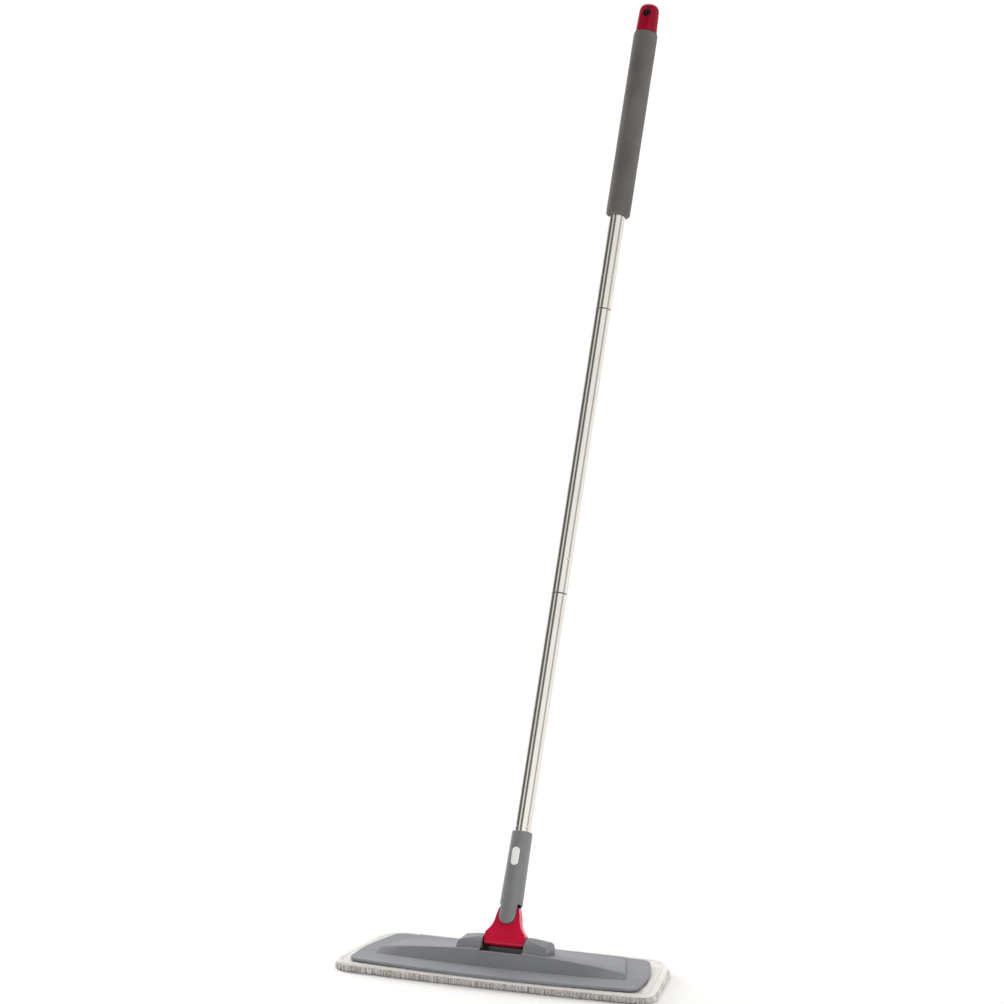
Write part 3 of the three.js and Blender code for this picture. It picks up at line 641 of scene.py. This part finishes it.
def pad_body():
    """Woven cloth over a thin core: flat under the plate, swollen between plate and binding."""
    rest, faces, top_row = body_shell()
    co = inflated(rest, faces)
    inside = under_plate(co[:, 0], co[:, 1])
    free = np.clip((4 - inside) / 6, 0, 1)
    lift = np.clip(co[:, 2] - rest[:, 2], -0.6, 1.1)
    is_top = rest[:, 2] > BODY_HIGH - 0.01
    turn = np.arctan2(co[:, 1] - CENTRE[1], co[:, 0]) / math.tau
    crumple = ripple(turn, 5, [(60, 0.12), (150, 0.08)])
    creep = co[:, :2] - rest[:, :2]
    fall = 0.1 * np.clip(np.hypot(*creep.T), 0, CREEP)
    margin = np.zeros(len(co))
    for row, inset in enumerate(MARGIN_INSETS, top_row):
        share = min(1, max(0, (inset - 7) / 14))
        margin[row * BODY_COUNT : (row + 1) * BODY_COUNT] = math.sin(math.pi * share)
    co[:, :2] = rest[:, :2] + np.clip(creep, -CREEP, CREEP)
    raised = free * (lift * 0.6 + margin * (0.75 + crumple)) - fall
    co[:, 2] = rest[:, 2] + np.where(is_top, raised, 0)
    co[:, 2] = np.where(is_top & (inside > 0), np.minimum(co[:, 2], TOP + 0.1), co[:, 2])
    piece = make_piece("pad_body", co.tolist(), faces, HEAD, "head", "white_fabric",
                       stands_for=["pad_core", "pad_cloth"], crease=70)


CLOTH_STEPS = 20
CLOTH_MASS = 0.3
CLOTH_PRESSURE = 4.0
CLOTH_GROWTH = 0.03


def inflated(co, faces):
    """The closed body after a short cloth simulation with inner pressure.

    Its underside and the part under the plate are held.
    """
    mesh = bpy.data.meshes.new("pad_cloth_run")
    mesh.from_pydata((co * MM).tolist(), [], faces)
    run = bpy.data.objects.new("pad_cloth_run", mesh)
    bpy.context.scene.collection.objects.link(run)
    held = run.vertex_groups.new(name="held")
    fixed = (under_plate(co[:, 0], co[:, 1]) > 3) | (co[:, 2] < BODY_LOW + 0.5)
    held.add([int(i) for i in np.flatnonzero(fixed)], 1.0, "REPLACE")
    cloth = run.modifiers.new("cloth", "CLOTH")
    settings = cloth.settings
    settings.quality = 6
    settings.mass = CLOTH_MASS
    settings.vertex_group_mass = "held"
    settings.use_pressure = True
    settings.uniform_pressure_force = CLOTH_PRESSURE
    settings.shrink_min = -CLOTH_GROWTH
    settings.effector_weights.gravity = 0.0
    cloth.collision_settings.use_collision = False
    scene = bpy.context.scene
    for step in range(1, CLOTH_STEPS + 1):
        scene.frame_set(step)
    graph = bpy.context.evaluated_depsgraph_get()
    swollen = run.evaluated_get(graph).data
    out = np.zeros(len(co) * 3)
    swollen.vertices.foreach_get("co", out)
    scene.frame_set(1)
    bpy.data.objects.remove(run)
    return out.reshape(-1, 3) / MM


pad_body()

# ---- the binding tape round the pad, and its stitches ----

# The tape's cross-section: inset from the pad's outline, and height from the floor.
TAPE = [
    (8.6, 10.75), (8.3, 11.15), (7.6, 11.4), (6.9, 11.36), (6.3, 11.32), (5.6, 11.5), (4.6, 11.72),
    (3.5, 11.8), (2.4, 11.66), (1.4, 11.25), (0.7, 10.6), (0.3, 9.8), (0.25, 9.0), (0.5, 8.3),
    (1.1, 7.7), (2.0, 7.35), (3.4, 7.3), (5.4, 7.3), (7.4, 7.3), (8.3, 7.6), (8.7, 8.4), (8.75, 9.6),
]
SEAM = 6.5
TAPE_COUNT = 1400
TAPE_TOP = 9.7
TAPE_CEILING = 12.2


def tape_pucker(turn):
    """How far the gathered tape rises, in mm, at each share of the way round."""
    return ripple(turn, 11, [(95, 0.2), (210, 0.14), (330, 0.08)])


def pad_edge_binding():
    """A gathered tape folded over the pad's edge."""
    points, normals, _ = outline(PAD, TAPE_COUNT)
    turn = np.arange(TAPE_COUNT) / TAPE_COUNT
    pucker = tape_pucker(turn)
    wander = ripple(turn, 12, [(9, 0.25), (40, 0.15)])
    rings = []
    for inset, height in TAPE:
        outer = np.clip((SEAM - inset) / 4, 0, 1)
        on_top = 1.0 if height > TAPE_TOP else 0.25
        depth = inset + (wander * (0.8 if inset > 7 else 0.2)) - 0.3 * outer * pucker
        bulge = np.sin(np.clip((SEAM - inset) / SEAM, 0, 1) * math.pi)
        z = np.minimum(height + on_top * pucker * (0.35 + 0.65 * bulge), TAPE_CEILING)
        rings.append(level(points - normals * depth[:, None], z))
    faces = [face[::-1] for face in ring_faces(len(rings), TAPE_COUNT, True)]
    piece = make_piece("pad_edge_binding", np.vstack(rings).tolist(), faces, HEAD, "head",
                       "white_fabric", BINDING_LOOK, ["pad_binding"], crease=70)


pad_edge_binding()

UP = np.array([0, 0, 1.0])


def edge_directions(normals):
    """The directions along the outline and out from it, at each of its normals."""
    out = level(normals, 0.0)
    return np.column_stack([-out[:, 1], out[:, 0], out[:, 2]]), out


def strands(lines, radii, sideways, sides):
    """Closed yarns along many lines at once: lines (n, k, 3), radii (n, k), sideways (n, 3)."""
    count, steps, _ = lines.shape
    along = np.gradient(lines, axis=1)
    along /= np.linalg.norm(along, axis=2, keepdims=True)
    across = np.broadcast_to(sideways[:, None, :], lines.shape)
    across = across - along * np.sum(across * along, axis=2, keepdims=True)
    across /= np.linalg.norm(across, axis=2, keepdims=True)
    third = np.cross(along, across)
    rings = []
    for i in range(sides):
        angle = math.tau * i / sides
        rings.append(lines + radii[..., None] * (math.cos(angle) * across + math.sin(angle) * third))
    co = np.stack(rings, axis=2).reshape(count, steps * sides, 3)
    quads = []
    for k in range(steps - 1):
        for i in range(sides):
            j = (i + 1) % sides
            quads.append((k * sides + i, k * sides + j, (k + 1) * sides + j, (k + 1) * sides + i))
    caps = [tuple(range(sides))[::-1], tuple((steps - 1) * sides + i for i in range(sides))]
    faces = []
    for n in range(count):
        base = n * steps * sides
        faces += [tuple(base + i for i in face) for face in quads + caps]
    return co.reshape(-1, 3), faces


STITCH_PITCH = 3.3
STITCH_RADIUS = 0.26
STITCH_HEIGHT = 11.46
# Along the seam and up from the tape, from where the thread dips in to where it dips out.
STITCH_ARCH = (
    (-1.3, -0.55), (-1.0, -0.12), (-0.5, 0.06), (0, 0.1), (0.5, 0.06), (1.0, -0.12), (1.3, -0.55),
)


def pad_stitches():
    """A row of slightly uneven stitches along the tape's inner edge."""
    points, normals, length = outline(PAD, TAPE_COUNT)
    count = int(length / STITCH_PITCH)
    source = np.random.default_rng(21)
    at = (np.arange(count) / count * TAPE_COUNT).astype(int)
    ahead, out = edge_directions(normals[at])
    height = STITCH_HEIGHT + 0.35 * tape_pucker(at / TAPE_COUNT)
    middle = level(points[at] - normals[at] * SEAM, height)
    middle += out * source.normal(0, 0.07, (count, 1))
    slant = source.normal(0.05, 0.03, (count, 1))
    lines = np.stack([
        middle + ahead * share + out * slant * share + UP * rise for share, rise in STITCH_ARCH
    ], axis=1)
    co, faces = strands(lines, np.full(lines.shape[:2], STITCH_RADIUS), out, 6)
    make_piece("pad_stitches", co.tolist(), faces, HEAD, "head", "white_fabric", THREAD_LOOK)


pad_stitches()

# ---- the looped pile ----

EDGE_COUNT = 2400
EDGE_ROOT = 8.2
EDGE_SIDES = 5
EDGE_RADIUS = 0.52
EDGE_RADIUS_LIMIT = 0.62
# Each layer's inset, spacing along the edge, height above the floor and reach outwards.
EDGE_LAYERS = ((1.2, 1.25, 0.25, 1.5), (2.3, 1.35, 0.15, 0.9), (3.6, 1.5, 0.1, 0.3))
# A hanging loop's side view: shares of the reach outwards and of the fall.
EDGE_LOOP = (
    (0, 0.0), (0.55, 0.12), (1.0, 0.38), (1.05, 0.68),
    (0.7, 0.93), (0.05, 1.0), (-0.6, 0.86), (-0.9, 0.55),
)
TUFT_PITCH = 3.5
TUFT_ROOT = 3.6
TUFT_RADIUS = 0.68
TUFT_FLOOR_GAP = 0.75
TUFT_INSET = 4.6
TUFT_HALF = 200
TUFT_SIDES = 4
# A tuft's side view: mm along the loop and a share of the fall.
TUFT_LOOP = ((-1.15, 0.0), (-1.5, 0.55), (-0.7, 1.0), (0.7, 1.0), (1.5, 0.55), (1.15, 0.0))
BACKING_COUNT = 300
# The backing sheet's rim, from its top to its underside: inset and height.
BACKING_RIM = ((3.4, 6.7), (2.6, 6.0), (2.6, 4.0), (3.4, 3.3))
BACKING_SHARES = (0.8, 0.5, 0.2)
BACKING_TINT = 0.35


def edge_loops(source, layer):
    """One row of yarn loops that hang down round the pad's edge, with a tint for each point."""
    inset, spacing, drop, proud = EDGE_LAYERS[layer]
    points, normals, length = outline(PAD, EDGE_COUNT)
    count = int(length / spacing)
    even = (np.arange(count) + 0.5 * (layer % 2)) / count * EDGE_COUNT
    at = (even + source.normal(0, 0.6, count)).astype(int) % EDGE_COUNT
    ahead, out = edge_directions(normals[at])
    root = level(points[at] - normals[at] * inset, EDGE_ROOT)
    reach = np.abs(source.normal(proud, 0.35, count))[:, None]
    low = (drop + np.abs(source.normal(0.4, 0.85, count)))[:, None]
    sway = source.normal(0, 0.75, (count, 1))
    lines = np.stack([
        root + out * (reach * side + (0.45 if side > 0 else 0)) + ahead * sway * fall
        + UP * (-(EDGE_ROOT - low) * fall)
        for side, fall in EDGE_LOOP
    ], axis=1)
    radii = np.abs(source.normal(EDGE_RADIUS, 0.06, count))[:, None] * np.ones((1, len(EDGE_LOOP)))
    radii = np.minimum(radii, EDGE_RADIUS_LIMIT)
    lines[..., 2] = np.maximum(lines[..., 2], radii + 0.02)
    clump = 0.18 * ripple(at / EDGE_COUNT, 40 + layer, [(260, 1.0), (620, 1.0)])
    tints = np.clip(source.normal(0.66, 0.3, count) + clump, 0, 1)
    co, faces = strands(lines, radii, ahead, EDGE_SIDES)
    return co, faces, np.repeat(tints, EDGE_SIDES * len(EDGE_LOOP))


def underside_tufts(source):
    """Small loops in staggered rows all over the underside, with a tint for each point."""
    spots = []
    rows = np.arange(PAD["front"] - PAD["bow"], PAD["back"] - 3, TUFT_PITCH * 0.87)
    for row, y in enumerate(rows):
        for x in np.arange(-TUFT_HALF, TUFT_HALF, TUFT_PITCH):
            spots.append((x + (row % 2) * TUFT_PITCH / 2, y))
    spots = np.array(spots) + source.normal(0, 0.35, (len(spots), 2))
    rim, rim_normals, _ = outline(PAD, 240)
    gap = spots[:, None, :] - rim[None]
    nearest = np.linalg.norm(gap, axis=2).argmin(axis=1)
    depth = -np.sum((spots - rim[nearest]) * rim_normals[nearest], axis=1)
    spots = spots[depth > TUFT_INSET]
    count = len(spots)
    heading = source.uniform(0, math.tau, count)
    ahead, side = edge_directions(np.column_stack([np.sin(heading), -np.cos(heading)]))
    root = level(spots, TUFT_ROOT)
    tall = TUFT_ROOT - TUFT_FLOOR_GAP - np.abs(source.normal(0, 0.35, count))[:, None]
    lines = np.stack([
        root + ahead * share * 0.95 - UP * tall * fall for share, fall in TUFT_LOOP
    ], axis=1)
    co, faces = strands(lines, np.full(lines.shape[:2], TUFT_RADIUS), -side, TUFT_SIDES)
    tints = source.uniform(0.1, 0.9, count)
    return co, faces, np.repeat(tints, TUFT_SIDES * len(TUFT_LOOP))


def backing_sheet():
    """The closed sheet that holds the loops, with a tint for each point."""
    points, normals, _ = outline(PAD, BACKING_COUNT)
    (edge_inset, high), (_, low) = BACKING_RIM[0], BACKING_RIM[-1]
    flats = [
        CENTRE + (points - normals * edge_inset - CENTRE) * share for share in BACKING_SHARES
    ]
    stack = [level(flat, high) for flat in flats[::-1]]
    stack += [level(points - normals * inset, z) for inset, z in BACKING_RIM]
    stack += [level(flat, low) for flat in flats]
    co = np.vstack(stack + [np.array([[*CENTRE, high], [*CENTRE, low]])])
    faces = [face[::-1] for face in ring_faces(len(stack), BACKING_COUNT, False)]
    end = len(stack) * BACKING_COUNT
    last = end - BACKING_COUNT
    for i in range(BACKING_COUNT):
        j = (i + 1) % BACKING_COUNT
        faces.append((i, j, end))
        faces.append((last + j, last + i, end + 1))
    return co, faces, np.full(len(co), BACKING_TINT)


def pile_loops():
    """Rows of hanging yarn loops round the edge, and tufted loops all over the underside."""
    source = np.random.default_rng(31)
    parts = [edge_loops(source, layer) for layer in range(len(EDGE_LAYERS))]
    parts += [underside_tufts(source), backing_sheet()]
    faces, start = [], 0
    for co, part_faces, _ in parts:
        faces += [tuple(start + i for i in face) for face in part_faces]
        start += len(co)
    co = np.vstack([part[0] for part in parts])
    piece = make_piece("pad_pile_loops", co.tolist(), faces, HEAD, "head",
                       "pile_fabric", stands_for=["pad_pile"], crease=80)
    tint = piece.data.attributes.new("tint", "FLOAT", "POINT")
    tint.data.foreach_set("value", np.concatenate([part[2] for part in parts]).astype(np.float32))


pile_loops()

# ---- floor, light and camera ----

FLOOR_HALF = 45.0


def floor():
    """A wide plain floor at the foot of the pile."""
    mesh = bpy.data.meshes.new("studio_floor")
    signs = ((-1, -1), (1, -1), (1, 1), (-1, 1))
    corners = [(x * FLOOR_HALF, y * FLOOR_HALF, FLOOR) for x, y in signs]
    mesh.from_pydata(corners, [], [(0, 1, 2, 3)])
    look = Look("pale_floor", Roughness=0.75, Specular_IOR_Level=0.2)
    tone = look.noise(2.5, detail=2)
    mesh.materials.append(look.set(Base_Color=look.mix(tone, colour("f6f5f4"), colour("f8f7f6"))))
    piece = bpy.data.objects.new("studio_floor", mesh)
    bpy.context.scene.collection.objects.link(piece)


floor()

# How bright the walls are at angles round the pole, in degrees from the front.
WALLS = [
    (-122, 1.0), (-112, 0.9), (-90, 0.12), (-56, 0.12), (-44, 0.85), (-31, 0.85), (-25, 0.14),
    (-3, 0.14), (8, 1.05), (64, 1.05), (70, 0.5), (90, 0.5), (97, 1.1), (132, 1.1), (146, 0.6),
    (164, 0.6),
]
WALL_DIFFUSE = 0.76
WALL_GLOSSY = 1.12
BACKDROP = (0.98, 0.98, 0.975, 1)


def studio_world():
    """Soft white walls with a few grey gaps, so that polished steel shows long streaks.

    The camera sees a plain backdrop instead. In reflections the walls dim towards the ceiling.
    """
    world = bpy.data.worlds.new("studio")
    bpy.context.scene.world = world
    world.use_nodes = True
    tree = world.node_tree

    def node(kind, inputs=None, **settings):
        return add_node(tree, kind, inputs, **settings)

    direction = node("TexCoord").outputs["Generated"]
    upright = node("Mapping", {"Vector": direction, "Rotation": (LEAN, 0, 0)}, vector_type="POINT")
    parts = node("SeparateXYZ", {0: upright.outputs[0]})
    front = node("Math", {0: parts.outputs["Y"], 1: -1.0}, operation="MULTIPLY").outputs[0]
    azimuth = node("Math", {0: parts.outputs["X"], 1: front}, operation="ARCTAN2").outputs[0]
    turn = node("MapRange", {"Value": azimuth, "From Min": -math.pi, "From Max": math.pi})
    walls = node("ValToRGB", {0: turn.outputs["Result"]})
    ramp = walls.color_ramp
    ramp.elements[0].position = 0
    ramp.elements[1].position = 1
    for element in ramp.elements:
        element.color = (1, 1, 1, 1)
    for degrees, brightness in WALLS:
        element = ramp.elements.new((degrees + 180) / 360)
        element.color = (brightness, brightness * 0.99, brightness * 0.97, 1)
    height = node("MapRange", {"Value": parts.outputs["Z"], "From Min": 0.14, "From Max": 0.5,
                               "To Min": 1.0, "To Max": 0.62})
    bright = node("Math", {0: height.outputs["Result"], 1: WALL_GLOSSY}, operation="MULTIPLY")
    rays = node("LightPath")
    spread = node("MapRange", {"Value": rays.outputs["Is Glossy Ray"], "To Min": WALL_DIFFUSE,
                               "To Max": bright.outputs[0]})
    lit = node("Background", {"Color": walls.outputs["Color"], "Strength": spread.outputs["Result"]})
    seen = node("Background", {"Color": BACKDROP})
    whole = node("MixShader", {0: rays.outputs["Is Camera Ray"], 1: lit.outputs[0], 2: seen.outputs[0]})
    tree.links.new(whole.outputs[0], tree.nodes["World Output"].inputs["Surface"])


studio_world()


def soft_sun(name, toward, angle, strength, mirrored):
    """A wide soft sun that shines from one direction; mirrored says whether glossy pieces show it."""
    data = bpy.data.lights.new(name, "SUN")
    data.angle = math.radians(angle)
    data.energy = strength
    lamp = bpy.data.objects.new(name, data)
    lamp.rotation_euler = Vector(toward).to_track_quat("Z", "Y").to_euler()
    lamp.visible_glossy = mirrored
    bpy.context.scene.collection.objects.link(lamp)


soft_sun("key_behind_left", (-0.35, 0.45, 0.82), 50, 1.3, True)
soft_sun("fill_right", (0.9, -0.15, 0.3), 60, 0.8, False)
soft_sun("rim_left", (-0.9, 0.38, 0.2), 40, 3.0, False)

CAMERA_PLACE = TILT + Vector((1.62366, -4.43354, 1.49160))
CAMERA_TURNS = ((20.157, "Z"), (78.59, "X"), (-0.07, "Z"))
CAMERA_LENS = 147.1
CAMERA_RANGE = 60


def photo_camera():
    """The camera in front of the mop, a little to its right and above its head."""
    data = bpy.data.cameras.new("camera")
    data.sensor_width = 36
    data.lens = CAMERA_LENS
    data.clip_end = CAMERA_RANGE
    camera = bpy.data.objects.new("camera", data)
    bpy.context.scene.collection.objects.link(camera)
    aim = Matrix.Identity(4)
    for degrees, axis in CAMERA_TURNS:
        aim = aim @ Matrix.Rotation(math.radians(degrees), 4, axis)
    camera.matrix_world = Matrix.Translation(CAMERA_PLACE) @ aim
    bpy.context.scene.camera = camera


photo_camera()
bpy.context.scene.view_settings.view_transform = "Standard"

# ---- the view layer's last update ----

bpy.context.view_layer.update()
